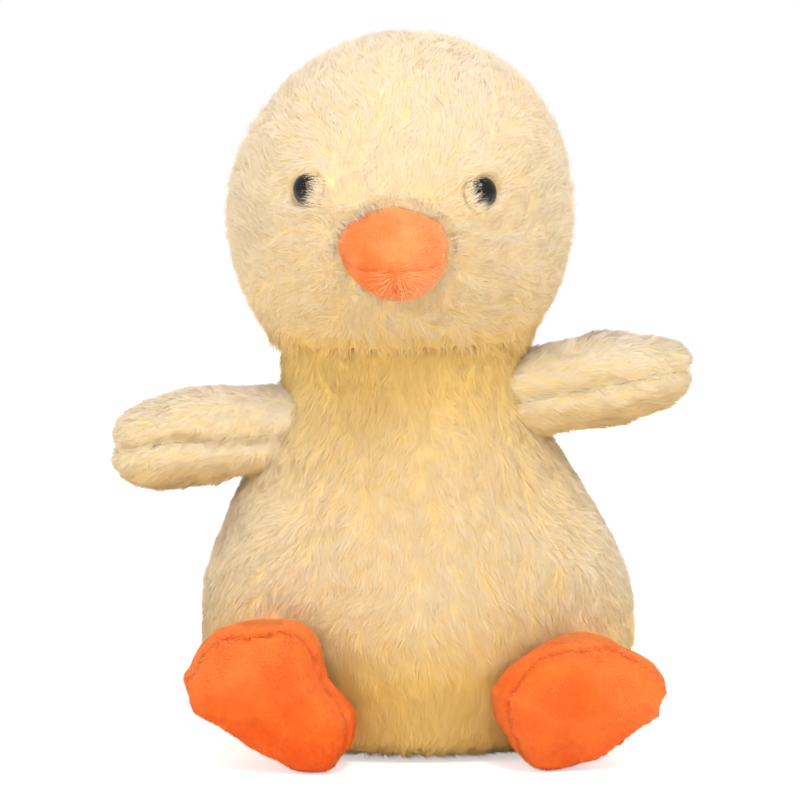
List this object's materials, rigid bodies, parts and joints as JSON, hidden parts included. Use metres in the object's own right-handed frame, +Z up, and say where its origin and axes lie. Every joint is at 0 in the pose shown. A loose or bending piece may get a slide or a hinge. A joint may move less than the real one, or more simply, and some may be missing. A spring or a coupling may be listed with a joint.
{
  "type": "plush duck",
  "caption": "Sitting stuffed duck toy in long pile plush, with a round head, short wings, and an orange beak and feet.",
  "frame": {"origin": "middle of the flat sitting face, on the surface the duck sits on", "axes": "+Z up, the duck faces -Y, its left side is +X"},
  "size_m": [0.2187, 0.1781, 0.2679],
  "materials": {
    "plush": "pale yellow long pile plush, about 9 mm, brushed and slightly clumped",
    "orange_pile": "orange short pile velboa, about 2 mm, soft sheen",
    "black_plastic": "glossy moulded safety eye",
    "white_plastic": "moulded lock washer",
    "wadding": "white polyester wadding",
    "calico": "unbleached cotton cloth",
    "pellet_plastic": "small plastic pellets"
  },
  "bodies": {
    "torso": {"body_cover": "plush", "tail_cover": "plush", "body_filling": "wadding", "tail_filling": "wadding", "pellet_pouch": "calico", "pellets": "pellet_plastic"},
    "neck": {"neck_filling": "wadding"},
    "head": {"head_cover": "plush", "beak_upper_panel": "orange_pile", "beak_lower_panel": "orange_pile", "eye_left": "black_plastic", "eye_right": "black_plastic", "eye_washer_left": "white_plastic", "eye_washer_right": "white_plastic", "head_filling": "wadding", "beak_filling": "wadding"},
    "wing_left": {"wing_left_upper_panel": "plush", "wing_left_lower_panel": "plush", "wing_left_filling": "wadding"},
    "wing_right": {"wing_right_upper_panel": "plush", "wing_right_lower_panel": "plush", "wing_right_filling": "wadding"},
    "foot_left": {"foot_left_sole": "orange_pile", "foot_left_upper": "orange_pile", "foot_left_filling": "wadding"},
    "foot_right": {"foot_right_sole": "orange_pile", "foot_right_upper": "orange_pile", "foot_right_filling": "wadding"}
  },
  "joints": [
    {"name": "head_turn", "type": "hinge", "parent": "torso", "child": "neck", "pos_m": [-0.0055, 0, 0.124], "axis": [0, 0, 1], "range_deg": [-20, 20], "stiffness_Nm_per_rad": 0.5},
    {"name": "head_nod", "type": "hinge", "parent": "neck", "child": "head", "pos_m": [-0.0055, 0, 0.124], "axis": [1, 0, 0], "range_deg": [-10, 12], "stiffness_Nm_per_rad": 0.8},
    {"name": "wing_left_flap", "type": "hinge", "parent": "torso", "child": "wing_left", "pos_m": [0.04402, -0.008, 0.131], "axis": [0, -1, 0], "range_deg": [-25, 8], "stiffness_Nm_per_rad": 0.2},
    {"name": "wing_right_flap", "type": "hinge", "parent": "torso", "child": "wing_right", "pos_m": [-0.05809, -0.008, 0.1168], "axis": [0, 1, 0], "range_deg": [-15, 25], "stiffness_Nm_per_rad": 0.2},
    {"name": "foot_left_tip", "type": "hinge", "parent": "torso", "child": "foot_left", "pos_m": [0.0605, -0.0423, 0.012], "axis": [1, 0, 0], "range_deg": [-6, 18], "stiffness_Nm_per_rad": 0.2},
    {"name": "foot_right_tip", "type": "hinge", "parent": "torso", "child": "foot_right", "pos_m": [-0.0565, -0.04583, 0.012], "axis": [1, 0, 0], "range_deg": [-6, 18], "stiffness_Nm_per_rad": 0.2}
  ]
}
